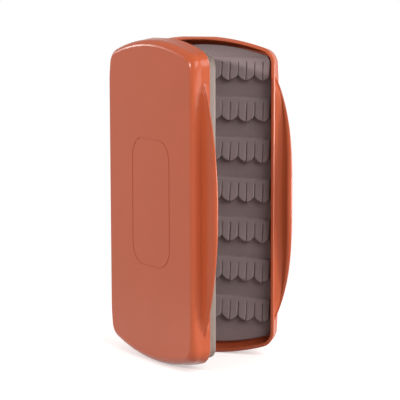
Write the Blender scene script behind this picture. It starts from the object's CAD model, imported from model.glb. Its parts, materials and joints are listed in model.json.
"""Fly box that stands on its arched end and opens like a book.

Two terracotta plastic halves turn on a knuckled hinge, each with a finger lip on its
free edge. Scalloped, slit foam lines both halves and a soft ring seals the lid.
All lengths are metres.
"""

import json
import math

import bmesh
import bpy
import numpy as np
from bpy.props import FloatProperty, FloatVectorProperty, IntProperty, PointerProperty
from mathutils import Matrix, Vector


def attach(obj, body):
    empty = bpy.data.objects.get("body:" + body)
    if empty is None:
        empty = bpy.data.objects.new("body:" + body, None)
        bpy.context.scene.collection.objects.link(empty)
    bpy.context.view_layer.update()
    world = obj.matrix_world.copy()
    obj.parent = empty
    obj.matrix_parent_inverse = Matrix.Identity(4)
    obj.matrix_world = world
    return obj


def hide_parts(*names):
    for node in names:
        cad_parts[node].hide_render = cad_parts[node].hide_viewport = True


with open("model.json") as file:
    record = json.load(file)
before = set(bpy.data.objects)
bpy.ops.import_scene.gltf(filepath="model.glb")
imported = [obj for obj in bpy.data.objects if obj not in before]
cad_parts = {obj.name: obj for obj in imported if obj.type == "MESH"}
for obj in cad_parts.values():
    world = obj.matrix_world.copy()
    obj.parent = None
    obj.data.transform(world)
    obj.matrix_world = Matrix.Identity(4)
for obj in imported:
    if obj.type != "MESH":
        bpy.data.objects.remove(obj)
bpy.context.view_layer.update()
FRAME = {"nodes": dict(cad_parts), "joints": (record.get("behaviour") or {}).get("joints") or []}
HINGE = FRAME["joints"][0]
AXIS_X, AXIS_Y, MID_Z = HINGE["pos_m"]
OPEN = math.radians(-HINGE["range_deg"][0])
HALVES = (("base", False), ("lid", True))
DOUBLE, SLIVER, TINY = 2e-6, 1e-7, 1e-9
WHITE = (1.0, 1.0, 1.0, 1.0)

bl_info = {
    "name": "Fly box",
    "version": (1, 0, 0),
    "blender": (4, 5, 0),
    "location": "3D View > Sidebar > Fly box",
    "description": "Builds an open fly box with foam rows, a soft seal and finger lips",
    "category": "Add Mesh",
}


def size(name, description, default):
    """A length that a user may change."""
    return FloatProperty(
        name=name, description=description, default=default, min=0.0,
        unit="LENGTH", precision=5,
    )


def colour(name, description, default):
    """A colour that a user may change, in linear light."""
    return FloatVectorProperty(
        name=name, description=description, default=default, min=0.0, max=1.0,
        size=3, subtype="COLOR",
    )


def share(name, description, default):
    """A plain number that a user may change."""
    return FloatProperty(name=name, description=description, default=default, precision=4)


def bearing(name, description, default):
    """An angle that a user may change, in radians."""
    return FloatProperty(name=name, description=description, default=default, unit="ROTATION")


def wattage(name, description, default):
    """A lamp's power that a user may change, in watts."""
    return FloatProperty(name=name, description=description, default=default, unit="POWER")


class CaseSizes(bpy.types.PropertyGroup):
    """Moulded halves"""

    length: size("Length", "Height of the standing box", 0.190)
    width: size("Width", "Width of a half without its lip", 0.096)
    half_depth: size("Half depth", "Parting plane to outer face", 0.0118)
    end_radius: size("End radius", "Radius of the arched ends", 0.135)
    corner_radius: size("Corner radius", "Radius of the four corners", 0.010)
    crown_cut: size("Standing flat", "What the standing flats take off the crown", 0.0004)
    face_round: size("Side rounding", "Rounding of the outer face along the sides", 0.0029)
    end_round: size("End rounding", "Rounding of the outer face along the arched ends", 0.0055)
    face_turn: bearing("Face turn", "Turn of that rounding before the flat face", math.radians(70))
    waist_level: size("Waist level", "Depth of the line round the wall", 0.0055)
    waist_inset: size("Waist inset", "How far that line stands in from the rim", 0.0009)
    lean: share("Upper lean", "Slope of the wall above the waist", 0.0349)
    wall: size("Wall", "Wall thickness at the rim", 0.0022)
    floor: size("Floor", "Thickness of the outer face", 0.0018)
    rim_gap: size("Rim gap", "Rim to parting plane", 0.0001)
    edge_round: size("Edge rounding", "Small rounding of the rim's inner edge", 0.00028)
    edge_bevel: size("Edge bevel", "Bevel of the rim's outer edge", 0.0008)
    ledge_level: size("Ledge level", "Depth of the ledge the seal sits on", 0.0027)
    ledge_inset: size("Ledge inset", "Inner wall of the lid below the ledge", 0.00415)
    foot_round: size("Foot rounding", "Rounding where the base's wall meets the floor", 0.0015)
    lid_foot_round: size("Lid foot rounding", "The same in the lid", 0.0007)
    panel_width: size("Panel width", "Width of the bare outlined panel", 0.042)
    panel_height: size("Panel height", "Height of the bare outlined panel", 0.075)
    panel_corner: size("Panel corner", "Corner radius of the panel", 0.012)
    panel_shift: size("Panel shift", "Panel centre towards the free edge", 0.002)
    groove_width: size("Groove width", "Width of the panel line", 0.0009)
    groove_depth: size("Groove depth", "Depth of the panel line", 0.00035)


class LipSizes(bpy.types.PropertyGroup):
    """Finger lips"""

    reach: size("Reach", "How far the lip stands out at its crest", 0.01039)
    length: size("Length", "Length of the lip along the edge", 0.148)
    thickness: size("Thickness", "Thickness at the crest", 0.0032)
    end_thickness: size("End thickness", "Thickness at the ends", 0.0008)
    end_drop: size("End drop", "How far the shelf slopes down at the ends", 0.0010)
    front: size("Front", "Front face to parting plane at the crest", 0.0009)
    front_crest: size("Front crest", "Length over which the front keeps level", 0.008)
    front_length: size("Front length", "Length over which the front recedes", 0.124)
    nose: size("Nose", "Reach of the rounded nose", 0.0026)
    dish: size("Dish", "Depth of the finger dish", 0.0006)
    step: size("Step", "Shelf below the waist line", 0.0003)
    leaf_out: size("Leaf out", "Inner edge of the dish to the rim", 0.0013)
    leaf_straight: size("Leaf straight", "Length over which that edge is straight", 0.076)
    leaf_length: size("Leaf length", "Tip to tip of the dish", 0.122)


class HingeSizes(bpy.types.PropertyGroup):
    """Knuckles and pin"""

    axis_offset: size("Axis offset", "Axis to the hinge side wall", 0.0028)
    radius: size("Knuckle radius", "Outer radius of a knuckle", 0.002396)
    knuckle: size("Knuckle length", "Length of one knuckle", 0.0256)
    gap: size("Knuckle gap", "Gap between two knuckles", 0.0004)
    count: IntProperty(name="Knuckles", description="Knuckles of both halves", default=5, min=3)
    pin_radius: size("Pin radius", "Radius of the pin", 0.001)
    pin_clearance: size("Pin clearance", "Pin to hole", 0.00005)
    pin_inset: size("Pin inset", "Pin end inside the last knuckle", 0.001)
    end_bevel: size("End bevel", "Bevel of the knuckles' and the pin's ends", 0.0003)


class SealSizes(bpy.types.PropertyGroup):
    """Soft ring"""

    height: size("Height", "How far the skirt stands past the rim", 0.0053)
    thickness: size("Thickness", "Thickness of the skirt", 0.0013)
    clearance: size("Clearance", "Skirt to the wall it drops behind", 0.00055)
    seat: size("Seat clearance", "Foot to the lid wall", 0.00005)
    taper: size("Taper", "Neck in from the swell", 0.00025)
    swell: size("Swell level", "Widest level of the skirt", 0.0045)
    tip: size("Tip bevel", "Bevel of the skirt's tip", 0.0004)


class LinerSizes(bpy.types.PropertyGroup):
    """Foam backing and rows"""

    inset: size("Inset", "Foam edge in from the rim outline", 0.0052)
    backing: size("Backing", "Thickness of the backing sheet", 0.0022)
    valley: size("Valley", "Depth of the valley above each row", 0.0007)
    rows: IntProperty(name="Rows", description="Foam rows in each half", default=7, min=1)
    upper_margin: size("Upper margin", "Top of the box to the first row", 0.012)
    lower_margin: size("Lower margin", "Last row to the foot of the box", 0.020)
    row_height: size("Row height", "Height of a row with its teeth", 0.0137)
    top_thickness: size("Top thickness", "Thickness at a row's upper edge", 0.0011)
    tooth_thickness: size("Tooth thickness", "Thickness at the teeth", 0.0030)
    tooth_pitch: size("Tooth pitch", "Distance between teeth", 0.0105)
    tooth_drop: size("Tooth drop", "Notch to tip", 0.0034)
    tooth_shift: share("Tooth shift", "Where the teeth start, in pitches", 0.33)
    tooth_wear: size("Tooth wear", "How much the fingers differ in length", 0.00045)
    slit: size("Slit", "Width of a slit", 0.00034)
    slit_margin: size("Slit margin", "Row's upper edge to the slits", 0.0030)
    softness: size("Softness", "Rounding of the foam edges", 0.00035)


class Finishes(bpy.types.PropertyGroup):
    """Colours of the materials"""

    plastic: colour("Plastic", "Terracotta plastic of both halves", (0.372, 0.071, 0.025))
    seal: colour("Seal", "Soft grey ring", (0.150, 0.110, 0.088))
    foam: colour("Foam", "Dark foam", (0.244, 0.187, 0.184))
    steel: colour("Steel", "Hinge pin", (0.56, 0.55, 0.53))
    magnet: colour("Magnet", "Plated magnets", (0.62, 0.61, 0.58))


class Studio(bpy.types.PropertyGroup):
    """Camera and light"""

    distance: size("Distance", "Camera to the box", 0.9564)
    turn: bearing("Turn", "Camera round the box", 0.41811)
    tilt: bearing("Tilt", "Camera looks down by", 0.13354)
    roll: bearing("Roll", "Camera roll", -0.00381)
    aim_side: size("Aim sideways", "Aim point from the hinge", 0.0378)
    aim_front: size("Aim forward", "Aim point before the hinge", 0.0324)
    lens: FloatProperty(name="Lens", description="Focal length in millimetres", default=145.34)
    shift_x: share("Shift x", "Sideways framing", 0.03840)
    shift_y: share("Shift y", "Upright framing", -0.00399)
    sky: share("Sky", "Strength of the soft surroundings", 0.47)
    key: wattage("Key light", "Light at the front left", 23.0)
    fill: wattage("Fill light", "Broad light at the front right", 17.5)
    edge: wattage("Edge light", "Light behind the lid", 4.5)
    side: wattage("Side light", "Low light on the right", 3.4)


def smoothstep(s):
    """Step from 0 to 1 with level ends: s squared times (3 - 2 s)."""
    s = np.clip(s, 0.0, 1.0)
    return s * s * (3.0 - 2.0 * s)


def settings(name):
    """The group of settings of that name."""
    return getattr(bpy.context.scene, "fly_" + name)


def centre_x():
    """Middle of a half's width, from the hinge axis."""
    return settings("hinge").axis_offset + settings("case").width / 2


def outline(inset, sides=76, bends=14, arches=24):
    """Outline of a half at one or more insets, as x and z of rows by points.

    A quadrant is a straight side up to the corner, the corner's arc about its own centre
    by angle, and the arched end about the centre of the end by angle. The other three
    quadrants mirror it, so the loop runs round from the middle of the free side.
    """
    c = settings("case")
    inset = np.atleast_1d(np.asarray(inset, float))[:, None]
    wide = c.width / 2 - inset
    top = c.length / 2 + c.crown_cut - inset
    big = c.end_radius - inset
    small = np.maximum(c.corner_radius - inset, c.corner_radius / 10)
    corner_x = wide - small
    centre_z = top - big
    corner_z = centre_z + np.sqrt((big - small) ** 2 - corner_x**2)
    phi = np.arctan2(corner_z - centre_z, corner_x)
    along = np.linspace(0, 1, sides, endpoint=False)[None]
    side = wide + 0 * along, corner_z * along
    turn = phi * np.linspace(0, 1, bends, endpoint=False)[None]
    bend = corner_x + small * np.cos(turn), corner_z + small * np.sin(turn)
    sweep = phi + (math.pi / 2 - phi) * np.linspace(0, 1, arches)[None]
    arch = big * np.cos(sweep), centre_z + big * np.sin(sweep)
    x = np.hstack([side[0], bend[0], arch[0]])
    z = np.hstack([side[1], bend[1], arch[1]])
    x = np.hstack([x, -x[:, -2::-1], -x[:, 1:], x[:, -2:0:-1]])
    z = np.hstack([z, z[:, -2::-1], -z[:, 1:], -z[:, -2:0:-1]])
    return centre_x() + x, np.clip(z, -c.length / 2, c.length / 2)


def placed(grid, lid):
    """Points of a half's own frame put where the hinge holds that half.

    The base only moves to the hinge. The lid is mirrored across the parting plane and
    turned about the hinge by the opening angle.
    """
    x, y, z = grid[..., 0], grid[..., 1], grid[..., 2]
    if lid:
        cos, sin = math.cos(OPEN), math.sin(OPEN)
        x, y = x * cos - y * sin, -x * sin - y * cos
    return np.stack([x + AXIS_X, y + AXIS_Y, z + MID_Z], axis=-1)


def grid_faces(rows, cols, close_rows, close_cols):
    """Quads between neighbouring points of a rows by cols grid."""
    i = np.arange(rows if close_rows else rows - 1)[:, None]
    j = np.arange(cols if close_cols else cols - 1)[None]
    a = i * cols + j
    b = i * cols + (j + 1) % cols
    c = ((i + 1) % rows) * cols + (j + 1) % cols
    d = ((i + 1) % rows) * cols + j
    return np.stack(np.broadcast_arrays(a, b, c, d), axis=-1).reshape(-1, 4)


def make_piece(name, grids, body, finish, nodes, crease=26.0):
    """One mesh from grids of points, riding on a body in place of CAD nodes.

    Each grid is (points, close_rows, close_cols, poles): poles fans its first and last
    row to the middle of that row, so that the surface has no hole.
    """
    corners, quads, fans, base = [], [], [], 0
    for points, close_rows, close_cols, poles in grids:
        rows, cols = points.shape[:2]
        corners.append(points.reshape(-1, 3))
        quads.append(grid_faces(rows, cols, close_rows, close_cols) + base)
        count = rows * cols
        if poles:
            corners.append(np.stack([points[0].mean(0), points[-1].mean(0)]))
            j = np.arange(cols)
            k = (j + 1) % cols
            last = (rows - 1) * cols
            fans.append(np.stack([k, j, 0 * j + count], axis=-1) + base)
            fans.append(np.stack([j + last, k + last, 0 * j + count + 1], axis=-1) + base)
            count += 2
        base += count
    faces = np.vstack(quads).tolist()
    for fan in fans:
        faces += fan.tolist()
    mesh = bpy.data.meshes.new(name)
    mesh.from_pydata(np.vstack(corners).tolist(), [], faces)
    clean(mesh, crease)
    piece = bpy.data.objects.new(name, mesh)
    bpy.context.scene.collection.objects.link(piece)
    mesh.materials.append(finish)
    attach(piece, body)
    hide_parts(*nodes)
    return piece


def clean(mesh, crease):
    """Merges doubled points, turns faces outwards and shades smoothly up to a crease."""
    work = bmesh.new()
    work.from_mesh(mesh)
    bmesh.ops.remove_doubles(work, verts=work.verts, dist=DOUBLE)
    bmesh.ops.dissolve_degenerate(work, edges=work.edges, dist=SLIVER)
    bmesh.ops.recalc_face_normals(work, faces=work.faces)
    work.to_mesh(mesh)
    work.free()
    mesh.shade_smooth()
    mesh.set_sharp_from_angle(angle=math.radians(crease))
    mesh.update()


def band_edge(level):
    """Offset of the flared rim band from the rim outline at a depth."""
    c = settings("case")
    return -c.waist_inset * (level - c.rim_gap) / (c.waist_level - c.rim_gap)


def lip_rows(z):
    """Offset and depth of the wall from the waist to the rim, lip included.

    Down each column the path runs from the waist along the shelf to the nose, round the
    nose as a half ellipse, over the dished leaf (a half sine) to the leaf's inner edge and
    straight to the rim. Reach fades with the cube of the distance from mid-length, the
    front recedes by a smoothstep of it, and the leaf's inner edge nears the nose towards
    the leaf's tips by a power of it. At the lip's ends the path sinks by a smoothstep into
    the plain band, and it never goes inside that band. On each stretch q is the share of
    the way along it.
    """
    c, lip = settings("case"), settings("lip")
    least_nose, tip_power, leaf_share, leaf_rise, sink = 0.4, 2.2, 0.6, 0.00035, 0.009
    far = np.abs(z)[None]
    fade = np.clip(1 - (2 * far / lip.length) ** 3, 0, 1)
    recede = smoothstep((2 * far - lip.front_crest) / (lip.front_length - lip.front_crest))
    end_reach = -c.waist_inset - lip.step
    end_shelf = c.waist_level - lip.step
    reach = end_reach + (lip.reach - end_reach) * fade
    front = lip.front + (end_shelf - lip.end_drop - lip.end_thickness - lip.front) * recede
    shelf = lip.front + lip.thickness
    shelf = shelf + (end_shelf - lip.end_drop - shelf) * recede
    nose = lip.nose * np.maximum(fade, least_nose)
    low = c.rim_gap + c.edge_bevel
    near = (2 * far - lip.leaf_straight) / (lip.leaf_length - lip.leaf_straight)
    near = np.clip(near, 0, 1) ** tip_power
    leaf_x = lip.leaf_out + (reach - nose - lip.leaf_out) * near
    leaf_y = low + leaf_share * (front - low) + leaf_rise
    leaf_y = leaf_y + (front - leaf_y) * near
    q = np.array([0, 0.03, 0.07, 0.14, 0.25, 0.4, 0.55, 0.7, 0.85, 0.95, 1])[:, None]
    top_x = band_edge(end_shelf) + (reach - nose - band_edge(end_shelf)) * q
    top_y = end_shelf + (shelf - end_shelf) * q
    t = np.linspace(0, math.pi, 17)[1:, None]
    nose_x = reach - nose + nose * np.sin(t)
    nose_y = front + (shelf - front) * (1 + np.cos(t)) / 2
    q = np.linspace(0, 1, 15)[1:, None]
    dish = lip.dish * (1 - near) * (1 + near)
    leaf_x = (reach - nose) + (leaf_x - reach + nose) * q
    leaf_y = front + (leaf_y - front) * q + dish * np.sin(math.pi * q)
    q = np.array([0.04, 0.1, 0.2, 0.4, 0.65, 0.9, 1])[:, None]
    band_x = leaf_x[-1:] + (band_edge(low) - leaf_x[-1:]) * q
    band_y = leaf_y[-1:] + (low - leaf_y[-1:]) * q
    x = np.vstack([top_x, nose_x, leaf_x, band_x])
    y = np.vstack([top_y, nose_y, leaf_y, band_y])
    even = np.linspace(end_shelf, low, len(y))[:, None]
    sunk = smoothstep((lip.length / 2 - far) / sink)
    y = even + (y - even) * sunk
    return np.maximum(x, band_edge(y)), y


def racetrack(angle, trim):
    """Distance from the panel's centre to its rounded outline at each angle.

    A ray leaves by the upright side, by the level side, or by the corner's circle, where
    the distance is the far root of the ray and circle equation.
    """
    c = settings("case")
    w, h, r = c.panel_width / 2 - trim, c.panel_height / 2 - trim, c.panel_corner - trim
    cos, sin = np.abs(np.cos(angle)), np.abs(np.sin(angle))
    upright = w / np.maximum(cos, TINY)
    level = h / np.maximum(sin, TINY)
    out = np.minimum(upright, level)
    along = (w - r) * cos + (h - r) * sin
    root = np.sqrt(np.maximum(along**2 - (w - r) ** 2 - (h - r) ** 2 + r * r, 0))
    in_corner = (out * cos > w - r) & (out * sin > h - r)
    return np.where(in_corner, along + root, out)


def upper_profile(radius):
    """Insets and depths from the flat face down to the waist.

    A small easing leads from the face into an arc of the radius, which turns from the face
    turn down to the wall, and the wall leans straight to the waist.
    """
    c = settings("case")
    rise = radius * math.sin(c.face_turn)
    shoulder = c.waist_inset + c.lean * (c.half_depth - rise - c.waist_level)
    t = np.linspace(c.face_turn, 0, 12)
    arc_in = shoulder + radius * (1 - np.cos(t))
    arc_at = c.half_depth - rise + radius * np.sin(t)
    ease_in = arc_in[0] + np.array([0.00025, 0.00012, 0.00003, -0.00004])
    ease_at = c.half_depth - np.array([0.0, 0.00001, 0.000035, 0.00008])
    s = np.array([0.3, 0.6, 0.9, 0.97, 1.0])
    wall_in = shoulder + (c.waist_inset - shoulder) * s
    wall_at = c.half_depth - rise + (c.waist_level - c.half_depth + rise) * s
    insets = np.concatenate([ease_in, arc_in[1:], wall_in])
    return insets, np.concatenate([ease_at, arc_at[1:], wall_at])


def face_rows(lid, edge_x, edge_z):
    """Rows over the flat face, from near its middle over the panel's groove to its edge."""
    c = settings("case")
    margin, edge_row, inner_trim = 0.0004, 0.0006, 0.42
    panel_x = centre_x() + c.panel_shift
    angle = np.arctan2(edge_z, edge_x - panel_x)
    reach = np.hypot(edge_x - panel_x, edge_z)
    if lid:
        g = c.groove_width
        radii = [racetrack(angle, c.panel_width * inner_trim), racetrack(angle, g + margin)]
        radii += [racetrack(angle, g * s) for s in (1.0, 0.84, 0.5, 0.16, 0.0, -0.4)]
        drops = [0, 0, 0, 0.8, 1.0, 0.8, 0, 0]
    else:
        radii, drops = [reach * 0.4, reach * 0.75], [0, 0]
    r = np.array(radii + [reach - edge_row])
    y = c.half_depth - c.groove_depth * np.array(drops + [0])[:, None] + 0 * r
    return panel_x + r * np.cos(angle), y, r * np.sin(angle)


def outer_rows():
    """Rows from the face's edge to the waist.

    They pass by a smoothstep of height from the sides' profile to the ends' profile.
    """
    c = settings("case")
    end_start, end_blend = 0.068, 0.018
    at_end = smoothstep((np.abs(outline(0.0)[1]) - end_start) / end_blend)
    side_in, side_at = upper_profile(c.face_round)
    end_in, end_at = upper_profile(c.end_round)
    (x, z), (end_x, end_z) = outline(side_in), outline(end_in)
    y = side_at[:, None] + (end_at - side_at)[:, None] * at_end
    return x + (end_x - x) * at_end, y, z + (end_z - z) * at_end


def band_rows():
    """Rows of the band under the waist, which take the lip's path on the free side."""
    rim_x, rim_z = outline(0.0)
    lip_dx, lip_y = lip_rows(rim_z[0])
    plain_dx, plain_y = lip_rows(np.full(1, settings("case").length))
    plain_x, plain_z = outline(-plain_dx[:, 0])
    free = (rim_x[0] > centre_x()) & (np.abs(rim_z[0]) < settings("lip").length / 2)
    x = np.where(free, rim_x + lip_dx, plain_x)
    return x, np.where(free, lip_y, plain_y), np.where(free, rim_z, plain_z)


def inner_rows(lid):
    """Rows over the rim's bevel and inner edge, down the wall and round the foot's arc.

    The lid's wall has the seal's ledge. The last rows shrink over the floor to its middle.
    """
    c = settings("case")
    e, bevel, wall_row = c.edge_round, c.edge_bevel, 0.0012
    t = np.linspace(0, math.pi / 2, 5)[1:]
    floor_at = c.half_depth - c.floor
    insets = [bevel * s for s in (0.02, 0.05, 0.50, 0.57, 0.66)]
    levels = [c.rim_gap + bevel * s for s in (0.90, 0.82, 0.08, 0.025, 0.0)]
    insets += [c.wall - e * math.cos(a) for a in t - t[0]]
    levels += [c.rim_gap + e * (1 - math.cos(a)) for a in t - t[0]]
    if lid:
        foot, foot_round = c.ledge_inset, c.lid_foot_round
        insets += [c.wall, c.wall, foot, foot]
        levels += [wall_row, c.ledge_level, c.ledge_level, floor_at - foot_round]
    else:
        foot, foot_round = c.wall + c.waist_inset, c.foot_round
        insets += [c.wall + c.waist_inset * s for s in (0.3, 0.6, 0.85)]
        levels += [floor_at * 0.3, floor_at * 0.6, floor_at - foot_round]
    t = np.linspace(0, math.pi / 2, 7)
    insets += [foot + foot_round * (1 - math.cos(a)) for a in t]
    levels += [floor_at - foot_round + foot_round * math.sin(a) for a in t]
    x, z = outline(np.array(insets))
    keep = np.array([0.985, 0.6, 0.2])[:, None]
    x = np.vstack([x, centre_x() + (x[-1] - centre_x()) * keep])
    z = np.vstack([z, z[-1] * keep])
    levels += [floor_at] * len(keep)
    return x, np.array(levels)[:, None] + 0 * x, z


def shell_grid(lid):
    """The whole skin of a half as one grid, from the face's middle to the floor's middle.

    Each stretch is x, y and z of rows by points round the outline.
    """
    outer = outer_rows()
    stretches = [face_rows(lid, outer[0][0], outer[2][0]), outer, band_rows(), inner_rows(lid)]
    return np.stack([np.vstack(rows) for rows in zip(*stretches)], axis=-1)


def knuckle_grid(index):
    """One knuckle as a closed grid.

    The outer loop is the barrel's circle opened into a web that runs to the wall, and the
    inner loop is the pin's hole. Rows go from the hole over one rounded end, along the
    outside, over the other end and back through the hole.
    """
    h, c = settings("hinge"), settings("case")
    pitch = h.knuckle + h.gap
    low = pitch * (index - h.count / 2) + h.gap / 2
    web = h.axis_offset + c.wall / 2
    start = math.asin(c.rim_gap / h.radius)
    turn = np.linspace(math.pi / 2, 2 * math.pi + start, 34)
    across = np.linspace(0, 1, 6)[1:-1]
    bx = np.concatenate([[web], web * (1 - across), h.radius * np.cos(turn)])
    by = np.concatenate([[h.radius], h.radius + 0 * across, h.radius * np.sin(turn)])
    back = np.linspace(h.radius * math.cos(start), web, 4)[1:]
    bx = np.concatenate([bx, back])
    by = np.concatenate([by, c.rim_gap + 0 * back])
    angle = np.unwrap(np.arctan2(by, bx))
    hole = h.pin_radius + h.pin_clearance
    hx, hy = hole * np.cos(angle), hole * np.sin(angle)
    e, run = h.end_bevel, h.knuckle
    ease = 0.3 * e
    level = np.array([e, 0, 0, ease, e, run - e, run - ease, run, run, run - e])[:, None]
    trim = np.array([0, 0, e, ease, 0, 0, ease, e, 0, 0])[:, None]
    outside = np.array([0, 0, 1, 1, 1, 1, 1, 1, 0, 0])[:, None] > 0
    scale = 1 - trim / h.radius
    x = np.where(outside, bx[None] * scale, hx[None])
    y = np.where(outside, by[None] * scale, hy[None])
    flat = outside & (by[None] <= c.rim_gap + SLIVER)
    y = np.where(flat, by[None], y)
    return np.stack([x, y, low + level + 0 * x], axis=-1)


def ring_grid(insets, levels):
    """A closed profile of insets and depths carried round the outline."""
    x, z = outline(np.array(insets))
    y = np.broadcast_to(np.array(levels)[:, None], x.shape)
    return np.stack([x, y, z], axis=-1)


def seal_grid():
    """Foot on the lid's ledge, and a skirt that swells towards a rounded tip.

    The foot's corners are bevelled, the skirt's outer wall swells by a smoothstep, and the
    tip's two corners are quarter circles by angle.
    """
    c, s = settings("case"), settings("seal")
    bevel, corner, back, neck = 0.0002, 0.0004, 0.0003, 0.00002
    outer = c.wall + s.clearance
    inner = outer + s.thickness
    foot = c.wall + s.seat
    t = np.linspace(0, math.pi / 2, 5)[1:]
    insets = [inner - back, foot + bevel, foot, foot, foot + bevel, outer + s.taper]
    levels = [c.ledge_level, c.ledge_level, c.ledge_level - bevel, c.rim_gap + bevel,
              c.rim_gap, c.rim_gap - neck]
    ease_in = smoothstep(np.linspace(0, 1, 7)[1:])
    insets += list(outer + s.taper * (1 - ease_in))
    levels += list(np.linspace(c.rim_gap, -s.swell, 7)[1:])
    insets += [outer + s.tip * (1 - math.cos(a)) for a in t]
    levels += [-s.swell - (s.height - s.swell) * math.sin(a) for a in t]
    insets += [inner - corner * math.cos(a) for a in t]
    levels += [-s.height + corner * (1 - math.cos(a)) for a in t]
    insets += [inner, inner, inner]
    levels += [-s.height * 0.4, c.rim_gap, c.ledge_level - back]
    return ring_grid(insets, levels)


def pin_grid():
    """Round pin: radius and level by angle over the rounded ends, turned about the axis."""
    h = settings("hinge")
    run = h.count * (h.knuckle + h.gap) - h.gap - 2 * h.pin_inset
    r, e = h.pin_radius, h.end_bevel
    cap = [r * 0.4]
    t = np.linspace(0, math.pi / 2, 5)
    radius = np.concatenate([cap, r - e + e * np.sin(t), r - e + e * np.cos(t), cap])
    level = np.concatenate([
        [-run / 2], -run / 2 + e * (1 - np.cos(t)), run / 2 - e + e * np.sin(t), [run / 2]])
    turn = np.linspace(0, 2 * math.pi, 40, endpoint=False)
    x = radius[:, None] * np.cos(turn)
    y = radius[:, None] * np.sin(turn)
    return np.stack([x, y, level[:, None] + 0 * x], axis=-1)


def row_top(index):
    """Height of a row's upper edge from mid-length."""
    c, f = settings("case"), settings("liner")
    run = c.length - f.upper_margin - f.lower_margin - f.row_height
    return c.length / 2 - f.upper_margin - index * run / max(f.rows - 1, 1)


def liner_outline():
    """Half width, corner radius, end radius, centre of the end and corner centre's height."""
    c, f = settings("case"), settings("liner")
    wide = c.width / 2 - f.inset
    small = c.corner_radius - f.inset
    big = c.end_radius - f.inset
    centre_z = c.length / 2 + c.crown_cut - f.inset - big
    corner_z = centre_z + math.sqrt((big - small) ** 2 - (wide - small) ** 2)
    return wide, small, big, centre_z, corner_z


def liner_half_width(z):
    """Half width of the foam outline at a height, from its corners' circles."""
    wide, small, _, _, corner_z = liner_outline()
    over = np.clip(np.abs(z) - corner_z, 0, small)
    return wide - small + np.sqrt(np.maximum(small**2 - over**2, 0))


def foam_row_grid(index, lid):
    """A row of foam as a closed grid of columns across and a loop down each column.

    Depth grows from the upper edge to the teeth. The lower edge is the notch height less
    the drop times 1 - (1 - t) to a power, with t from notch to tip. In a slit's columns
    the depth falls to almost nothing below the slit margin. Each finger between two slits
    has its own small seeded length, lean and drift, which grow towards its tip.
    """
    c, h, f = settings("case"), settings("hinge"), settings("liner")
    tooth_power, lean_most, drift_most, lean_power = 2.1, 0.00022, 0.00016, 1.5
    slit_floor, slit_depth, end_depth = 1e-5, 0.02, 0.7
    edge_depth, next_depth = 0.62, 0.88
    chance = np.random.default_rng(100 * int(lid) + index)
    top = row_top(index)
    middle = centre_x()
    teeth = math.ceil(c.width / f.tooth_pitch) + 1
    first = middle - f.tooth_pitch * (teeth / 2 + f.tooth_shift)
    left, right = h.axis_offset + f.inset, h.axis_offset + c.width - f.inset
    half = f.tooth_pitch / 2
    cuts = first + half * np.arange(2 * teeth)
    cuts = cuts[(cuts > left + half / 2) & (cuts < right - half / 2)]
    edges = np.concatenate([[left], cuts, [right]])
    wide = f.slit * chance.uniform(0.5, 1.0, len(cuts))
    xs, deep, finger = [], [], []
    soft = f.softness
    for k in range(len(edges) - 1):
        a = edges[k] + (wide[k - 1] / 2 if k > 0 else 0)
        b = edges[k + 1] - (wide[k] / 2 if k < len(cuts) else 0)
        inside = np.linspace(a + soft, b - soft, 9)
        part = np.concatenate([[a, a + soft * 0.3], inside, [b - soft * 0.3, b]])
        xs.append(part)
        dip = np.ones(len(part))
        dip[[0, -1]] = edge_depth
        dip[[1, -2]] = next_depth
        deep.append(dip)
        finger.append(np.full(len(part), k))
        if k < len(cuts):
            xs.append(np.array([b + slit_floor, edges[k + 1] + wide[k] / 2 - slit_floor]))
            deep.append(np.zeros(2))
            finger.append(np.full(2, k))
    xs, deep, finger = np.concatenate(xs), np.concatenate(deep), np.concatenate(finger)
    t = ((xs - first) / half) % 2
    t = np.where(t > 1, 2 - t, t)
    notch = top - f.row_height + f.tooth_drop
    low = notch - f.tooth_drop * (1 - (1 - t) ** tooth_power)
    low = low + chance.uniform(-f.tooth_wear, f.tooth_wear, len(edges))[finger] * t
    fixed = top - np.array([0.0, 0.0, soft * 0.3, soft, soft * 3, f.slit_margin - 0.0002])
    share_down = np.array([0.0, 0.08, 0.25, 0.45, 0.65, 0.82, 0.93])[:, None]
    under = f.slit_margin + share_down * ((top - low)[None] - f.slit_margin - soft)
    zs = np.vstack([fixed[:, None] + 0 * low, top - under,
                    (low + soft)[None], (low + soft * 0.3)[None], low[None], low[None]])
    slope = (top - zs) / f.row_height
    thick = f.top_thickness + (f.tooth_thickness - f.top_thickness) * slope
    lean = chance.uniform(-lean_most, lean_most, len(edges))[finger]
    drift = chance.uniform(-drift_most, drift_most, len(edges))[finger]
    loose = np.clip((top - zs - f.slit_margin) / (f.row_height - f.slit_margin), 0, 1)
    thick = thick + lean * loose**lean_power
    depth = thick.copy()
    depth[[0, -1]] = 0.0
    depth[[1, -2]] -= soft
    depth[[2, -3]] -= soft * 0.3
    depth[len(fixed):] *= np.where(deep > 0, deep, slit_depth)
    depth *= np.where(np.minimum(xs - left, right - xs) < TINY, end_depth, 1.0)
    stretch = liner_half_width(zs) / (c.width / 2 - f.inset)
    x = middle + (xs[None] - middle) * stretch + drift * loose
    x = np.clip(x, left, right)
    front = c.half_depth - c.floor - f.backing
    return np.stack([x, front - depth, zs], axis=-1)


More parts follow.
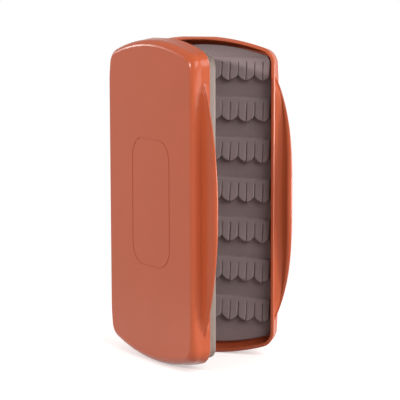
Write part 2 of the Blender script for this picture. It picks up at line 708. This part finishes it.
def backing_grid():
    """Foam backing as two sheets, its front and its back.

    Across each column the height runs along the arched outline, z is that outline times a
    number from -1 to 1, and the front drops by the valley's depth towards each row's upper
    edge and rolls off by a quarter circle at the outline.
    """
    c, f = settings("case"), settings("liner")
    wide, small, big, centre_z, corner_z = liner_outline()
    corner_x = wide - small
    roll, valley_start, valley_power = 0.0006, 0.0012, 1.3
    u = np.sin(np.linspace(-math.pi / 2, math.pi / 2, 70)) * wide
    over = np.maximum(np.abs(u) - corner_x, 0)
    corner_top = corner_z + np.sqrt(np.maximum(small**2 - over**2, 0))
    arch_top = centre_z + np.sqrt(big**2 - np.minimum(np.abs(u), wide) ** 2)
    tall = np.minimum(np.where(np.abs(u) > corner_x, corner_top, arch_top), arch_top)
    last = np.array([0.994, 0.997, 0.999, 1])
    v = np.concatenate([-last[::-1], np.linspace(-0.99, 0.99, 230), last])
    z = v[:, None] * tall[None]
    x = centre_x() + u[None] + 0 * z
    front = c.half_depth - c.floor - f.backing
    drop = np.zeros_like(z)
    for i in range(1, f.rows):
        low, high = row_top(i), row_top(i - 1) - f.row_height + valley_start
        s = (high - z) / (high - low)
        inside = (z >= low) & (s > 0)
        drop = np.where(inside, f.valley * np.clip(s, 0, 1) ** valley_power, drop)
    rim = np.minimum(wide - np.abs(u)[None] + 0 * z, tall[None] - np.abs(z))
    edge = roll - np.sqrt(np.maximum(roll**2 - (roll - np.clip(rim, 0, roll)) ** 2, 0))
    y = front + drop + edge
    sheet = np.stack([x, y, z], axis=-1)
    back = sheet.copy()
    back[..., 1] = c.half_depth - c.floor
    return sheet, back


class Wire:
    """A number leaving a shader node, so that sums on it read like sums."""

    def __init__(self, recipe, socket):
        self.recipe, self.socket = recipe, socket

    def __add__(self, other):
        return self.recipe.sum_of("ADD", self, other)

    def __mul__(self, other):
        return self.recipe.sum_of("MULTIPLY", self, other)


class Recipe:
    """The nodes of a material or world, and the one way in which they are made."""

    def __init__(self, owner):
        self.owner = owner
        owner.use_nodes = True
        self.tree = owner.node_tree
        self.tree.nodes.clear()

    def node(self, kind, options=None, sockets=None, out=0):
        """A node with its options set first, then the values or links of its sockets."""
        made = self.tree.nodes.new(kind)
        for name, value in (options or {}).items():
            if name == "stops":
                ramp = made.color_ramp
                while len(ramp.elements) < len(value):
                    ramp.elements.new(0.5)
                for element, (place, tone) in zip(ramp.elements, value):
                    element.position = place
                    element.color = (tone, tone, tone, 1)
            else:
                setattr(made, name, value)
        for key, value in (sockets or {}).items():
            socket = made.inputs[key]
            if isinstance(value, Wire):
                self.tree.links.new(value.socket, socket)
            else:
                socket.default_value = value
        return Wire(self, made.outputs[out]) if made.outputs else None

    def seen_rays(self):
        """1 for rays that show the backdrop: from the camera, in gloss and through glass."""
        camera, gloss, through = (self.node("ShaderNodeLightPath", out=name) for name in (
            "Is Camera Ray", "Is Glossy Ray", "Is Transmission Ray"))
        return self.sum_of("MAXIMUM", self.sum_of("MAXIMUM", camera, gloss), through)

    def sum_of(self, operation, *terms):
        """One Math node on numbers and wires."""
        return self.node("ShaderNodeMath", {"operation": operation}, dict(enumerate(terms)))

    def place(self):
        """Object coordinates."""
        return self.node("ShaderNodeTexCoord", out="Object")

    def noise(self, where, scale, detail=2.0, roughness=0.5):
        return self.node("ShaderNodeTexNoise", None, {
            "Vector": where, "Scale": scale, "Detail": detail, "Roughness": roughness})

    def tint(self, factor, first, second):
        """A mix of two colours, whose sockets in the Mix node are numbers 6 and 7."""
        return self.node("ShaderNodeMix", {"data_type": "RGBA"}, {
            0: factor, 6: (*first, 1), 7: (*second, 1)}, out=2)

    def ramp(self, factor, *stops):
        """Greys by position."""
        return self.node("ShaderNodeValToRGB", {"stops": stops}, {0: factor})

    def bump(self, height, strength, distance, under=None):
        """A bump, on top of another where one is given."""
        sockets = {"Height": height, "Strength": strength, "Distance": distance}
        if under is not None:
            sockets["Normal"] = under
        return self.node("ShaderNodeBump", None, sockets)

    def emission(self, strength):
        return self.node("ShaderNodeEmission", None, {"Color": WHITE, "Strength": strength})

    def between(self, factor, first, second):
        """A mix of two shaders."""
        return self.node("ShaderNodeMixShader", None, {0: factor, 1: first, 2: second})

    def finish(self, **sockets):
        """The material, closed with one Principled shader."""
        named = {key.replace("_", " "): value for key, value in sockets.items()}
        shader = self.node("ShaderNodeBsdfPrincipled", None, named)
        self.node("ShaderNodeOutputMaterial", None, {"Surface": shader})
        return self.owner


def toned(tone, amount):
    """A colour made lighter or darker by one factor."""
    return tuple(min(1.0, part * amount) for part in tone)


def plastic_finish():
    """Glossy moulded plastic: slow drift of tone, faint haze in the gloss and fine ripple."""
    tone = settings("finish").plastic
    mix = Recipe(bpy.data.materials.new("moulded_plastic"))
    at = mix.place()
    drift = mix.noise(at, scale=38.0, detail=3.0)
    speck = mix.noise(at, scale=1400.0)
    haze = mix.noise(at, scale=160.0, detail=4.0, roughness=0.6)
    ripple = mix.bump(mix.noise(at, scale=300.0), strength=0.02, distance=0.0001)
    return mix.finish(
        Base_Color=mix.tint(drift * 0.9 + speck * 0.1, toned(tone, 0.95), toned(tone, 1.05)),
        Roughness=haze * 0.06 + 0.22,
        Normal=mix.bump(speck, strength=0.015, distance=0.00004, under=ripple),
        Specular_IOR_Level=0.27,
    )


def foam_finish():
    """Closed-cell foam: tiny pores as dark specks and bumps on a dull, slightly uneven tone."""
    tone = settings("finish").foam
    mix = Recipe(bpy.data.materials.new("liner_foam"))
    at = mix.place()
    pores = mix.node("ShaderNodeTexVoronoi", {"feature": "F1"}, {"Vector": at, "Scale": 1900.0})
    grain = mix.noise(at, scale=1100.0, detail=4.0, roughness=0.65)
    cloud = mix.noise(at, scale=70.0, detail=3.0)
    grit = mix.bump(grain, strength=0.35, distance=0.00015)
    return mix.finish(
        Base_Color=mix.tint(grain * 0.6 + cloud * 0.4, toned(tone, 0.78), toned(tone, 1.22)),
        Roughness=grain * 0.12 + 0.84,
        Normal=mix.bump(pores, strength=0.25, distance=0.00012, under=grit),
        Specular_IOR_Level=0.25,
    )


def seal_finish():
    """Soft grey rubber with a faint bloom."""
    tone = settings("finish").seal
    mix = Recipe(bpy.data.materials.new("seal_rubber"))
    at = mix.place()
    bloom = mix.noise(at, scale=240.0, detail=3.0)
    return mix.finish(
        Base_Color=mix.tint(bloom, toned(tone, 0.9), toned(tone, 1.1)),
        Roughness=bloom * 0.15 + 0.42,
        Normal=mix.bump(mix.noise(at, scale=900.0), strength=0.08, distance=0.0001),
    )


def metal_finish(name, tone, grain_scale):
    """Drawn or plated metal: fine grain stretched along the part."""
    mix = Recipe(bpy.data.materials.new(name))
    at = mix.node("ShaderNodeMapping", None, {"Vector": mix.place(), "Scale": (1.0, 1.0, 0.06)})
    grain = mix.noise(at, scale=grain_scale, detail=3.0)
    return mix.finish(
        Base_Color=mix.tint(grain, toned(tone, 0.85), toned(tone, 1.1)),
        Roughness=grain * 0.18 + 0.2,
        Metallic=1.0,
        Normal=mix.bump(grain, strength=0.1, distance=0.00005),
    )


def finish_named(name):
    """The finish of that name, made at its first use."""
    found = bpy.data.materials.get(name)
    if found:
        return found
    f = settings("finish")
    makers = {
        "moulded_plastic": plastic_finish,
        "liner_foam": foam_finish,
        "seal_rubber": seal_finish,
        "drawn_steel": lambda: metal_finish("drawn_steel", f.steel, 2600.0),
        "magnet_plate": lambda: metal_finish("magnet_plate", f.magnet, 1500.0),
    }
    return makers[name]()


class FLYBOX_OT_shells(bpy.types.Operator):
    """Build both moulded halves with their finger lips, rims and the panel line"""

    bl_idname = "flybox.shells"
    bl_label = "Case halves"

    def execute(self, context):
        for half, lid in HALVES:
            grid = placed(shell_grid(lid), lid)
            make_piece(half + "_case_half", [(grid, False, True, True)], half,
                       finish_named("moulded_plastic"), [half + "_shell"])
        return {"FINISHED"}


class FLYBOX_OT_hinge(bpy.types.Operator):
    """Build the knuckles of both halves and the pin through them"""

    bl_idname = "flybox.hinge"
    bl_label = "Hinge"

    def execute(self, context):
        count = settings("hinge").count
        for first, (half, lid) in enumerate(HALVES):
            grids = [(placed(knuckle_grid(i), lid), True, True, False)
                     for i in range(first, count, 2)]
            make_piece(half + "_hinge_knuckles", grids, half,
                       finish_named("moulded_plastic"), [half + "_shell"])
        make_piece("hinge_wire", [(placed(pin_grid(), False), False, True, True)], "base",
                   finish_named("drawn_steel"), ["hinge_pin"])
        return {"FINISHED"}


class FLYBOX_OT_seal(bpy.types.Operator):
    """Build the soft ring on the lid's rim"""

    bl_idname = "flybox.seal"
    bl_label = "Seal ring"

    def execute(self, context):
        make_piece("lid_seal_ring", [(placed(seal_grid(), True), True, True, False)], "lid",
                   finish_named("seal_rubber"), ["lid_gasket"], crease=50.0)
        return {"FINISHED"}


class FLYBOX_OT_foam(bpy.types.Operator):
    """Build the foam backing and the scalloped, slit rows of both halves"""

    bl_idname = "flybox.foam"
    bl_label = "Foam liners"

    def execute(self, context):
        sheet, back = backing_grid()
        wall = np.stack([np.concatenate([g[0], g[1:-1, -1], g[-1, ::-1], g[-2:0:-1, 0]])
                         for g in (sheet, back)])
        for half, lid in HALVES:
            grids = [(placed(sheet, lid), False, False, False),
                     (placed(back, lid), False, False, False),
                     (placed(wall, lid), False, True, False)]
            liner = make_piece(half + "_foam_sheet", grids, half, finish_named("liner_foam"),
                               [half + "_foam_backing"], crease=60.0)
            for i in range(settings("liner").rows):
                grid = placed(foam_row_grid(i, lid), lid).transpose(1, 0, 2)
                row = make_piece(f"{half}_foam_row_{i + 1}", [(grid, False, True, True)], half,
                                 finish_named("liner_foam"),
                                 [f"{half}_foam_strip_{i + 1}"], crease=55.0)
        return {"FINISHED"}


class FLYBOX_OT_magnets(bpy.types.Operator):
    """Give the magnets inside the lips their plated finish"""

    bl_idname = "flybox.magnets"
    bl_label = "Magnets"

    def execute(self, context):
        for half, _ in HALVES:
            for end in ("upper", "lower"):
                bar = FRAME["nodes"][f"{half}_magnet_{end}"]
                bar.data.materials.clear()
                bar.data.materials.append(finish_named("magnet_plate"))
        return {"FINISHED"}


class FLYBOX_OT_stage(bpy.types.Operator):
    """Set the pale floor, the soft surroundings, the lamps and the camera"""

    bl_idname = "flybox.stage"
    bl_label = "Stage"

    def execute(self, context):
        scene = context.scene
        studio = settings("studio")
        scene.view_settings.view_transform = "Standard"
        self.floor(scene)
        self.surroundings(scene, studio)
        self.lamps(scene, studio)
        self.camera(scene, studio)
        return {"FINISHED"}

    def floor(self, scene):
        """A wide square that shows white from a short way off and keeps the shadow near by.

        Rays that light the box find it dimmer, as paper in the box's own shade is.
        """
        mesh = bpy.data.meshes.new("floor")
        half, lift = 40.0, 0.36
        corners = [(-half, -half, 0), (half, -half, 0), (half, half, 0), (-half, half, 0)]
        mesh.from_pydata(corners, [], [(0, 1, 2, 3)])
        ground = bpy.data.objects.new("floor", mesh)
        scene.collection.objects.link(ground)
        mix = Recipe(bpy.data.materials.new("floor_white"))
        away = mix.node("ShaderNodeVectorMath", {"operation": "LENGTH"}, {0: mix.place()}, out=1)
        far = mix.node("ShaderNodeMapRange", None, {
            "Value": away, "From Min": 0.10, "From Max": 0.26})
        seen = mix.seen_rays()
        paper = mix.node("ShaderNodeBsdfPrincipled", None, {
            "Base Color": (0.87, 0.80, 0.78, 1), "Roughness": 0.7, "Specular IOR Level": 0.2})
        dim = mix.node("ShaderNodeBsdfDiffuse", None, {"Color": (0.34, 0.31, 0.30, 1)})
        near = mix.node("ShaderNodeAddShader", None, {0: paper, 1: mix.emission(lift)})
        shown = mix.between(seen, dim, near)
        whole = mix.between(seen * far, shown, mix.emission(1.0))
        mix.node("ShaderNodeOutputMaterial", None, {"Surface": whole})
        mesh.materials.append(mix.owner)

    def surroundings(self, scene, studio):
        """An even soft light, which shows as white low down and grey high up."""
        mix = Recipe(bpy.data.worlds.new("surroundings"))
        scene.world = mix.owner
        place = mix.node("ShaderNodeTexCoord", out="Generated")
        up = mix.node("ShaderNodeSeparateXYZ", None, {0: place}, out="Z")
        tone = mix.ramp(up * 0.5 + 0.5, (0.0, 1.0), (0.56, 1.0), (0.68, 0.45), (1.0, 0.55))
        soft = mix.node("ShaderNodeBackground", None, {"Color": WHITE, "Strength": studio.sky})
        white = mix.node("ShaderNodeBackground", None, {"Color": tone, "Strength": 1.0})
        both = mix.between(mix.seen_rays(), soft, white)
        mix.node("ShaderNodeOutputWorld", None, {"Surface": both})

    def lamps(self, scene, studio):
        """Rectangular lamps, each at a turn and rise in degrees and a distance from the middle."""
        aim = Vector((0.0, 0.0, MID_Z))
        lamps = [
            ("key_lamp", (-120, 22), 1.9, studio.key, 0.10, 0.10),
            ("fill_lamp", (-30, 33), 1.4, studio.fill, 0.9, 0.9),
            ("edge_lamp", (172, 20), 1.5, studio.edge, 0.5, 0.14),
            ("side_lamp", (9, -2.3), 0.62, studio.side, 0.26, 0.13),
        ]
        for name, (round_deg, up_deg), away, power, width, height in lamps:
            turn, rise = math.radians(round_deg), math.radians(up_deg)
            level = away * math.cos(rise)
            offset = (level * math.cos(turn), level * math.sin(turn), away * math.sin(rise))
            spot = aim + Vector(offset)
            light = bpy.data.lights.new(name, "AREA")
            light.energy = power
            light.shape = "RECTANGLE"
            light.size, light.size_y = width, height
            lamp = bpy.data.objects.new(name, light)
            lamp.location = spot
            lamp.rotation_euler = (aim - spot).to_track_quat("-Z", "Y").to_euler()
            scene.collection.objects.link(lamp)

    def camera(self, scene, studio):
        """A long lens turned, tilted and rolled about the aim point."""
        lens = bpy.data.cameras.new("camera")
        lens.lens = studio.lens
        lens.sensor_width = 36.0
        lens.shift_x, lens.shift_y = studio.shift_x, studio.shift_y
        lens.clip_start, lens.clip_end = 0.05, 100.0
        cam = bpy.data.objects.new("camera", lens)
        cos, sin = math.cos(studio.turn), math.sin(studio.turn)
        side, ahead, up = Vector((cos, sin, 0)), Vector((-sin, cos, 0)), Vector((0, 0, 1))
        forward = ahead * math.cos(studio.tilt) - up * math.sin(studio.tilt)
        upward = ahead * math.sin(studio.tilt) + up * math.cos(studio.tilt)
        right = side * math.cos(studio.roll) + upward * math.sin(studio.roll)
        over = upward * math.cos(studio.roll) - side * math.sin(studio.roll)
        aim = Vector((AXIS_X, AXIS_Y, MID_Z)) + side * studio.aim_side - ahead * studio.aim_front
        spot = aim - forward * studio.distance
        turn = Matrix((right, over, -forward)).transposed().to_4x4()
        cam.matrix_world = Matrix.Translation(spot) @ turn
        scene.collection.objects.link(cam)
        scene.camera = cam


class FLYBOX_PT_panel(bpy.types.Panel):
    """Sizes, finishes and build steps of the fly box"""

    bl_idname = "FLYBOX_PT_panel"
    bl_label = "Fly box"
    bl_space_type = "VIEW_3D"
    bl_region_type = "UI"
    bl_category = "Fly box"

    def draw(self, context):
        for operator in STEPS:
            self.layout.operator(operator.bl_idname)
        for name, kind in SETTINGS.items():
            box = self.layout.box()
            box.label(text=kind.__name__)
            for field in kind.__annotations__:
                box.prop(getattr(context.scene, name), field)


SETTINGS = {
    "fly_case": CaseSizes,
    "fly_lip": LipSizes,
    "fly_hinge": HingeSizes,
    "fly_seal": SealSizes,
    "fly_liner": LinerSizes,
    "fly_finish": Finishes,
    "fly_studio": Studio,
}
STEPS = (
    FLYBOX_OT_shells,
    FLYBOX_OT_hinge,
    FLYBOX_OT_seal,
    FLYBOX_OT_foam,
    FLYBOX_OT_magnets,
    FLYBOX_OT_stage,
)


def register():
    for kind in (*SETTINGS.values(), *STEPS, FLYBOX_PT_panel):
        bpy.utils.register_class(kind)
    for name, kind in SETTINGS.items():
        setattr(bpy.types.Scene, name, PointerProperty(type=kind))


def unregister():
    for name in SETTINGS:
        delattr(bpy.types.Scene, name)
    for kind in reversed((*SETTINGS.values(), *STEPS, FLYBOX_PT_panel)):
        bpy.utils.unregister_class(kind)


def main():
    register()
    bpy.ops.flybox.shells()
    bpy.ops.flybox.hinge()
    bpy.ops.flybox.seal()
    bpy.ops.flybox.foam()
    bpy.ops.flybox.magnets()
    bpy.ops.flybox.stage()


if __name__ == "__main__":
    main()
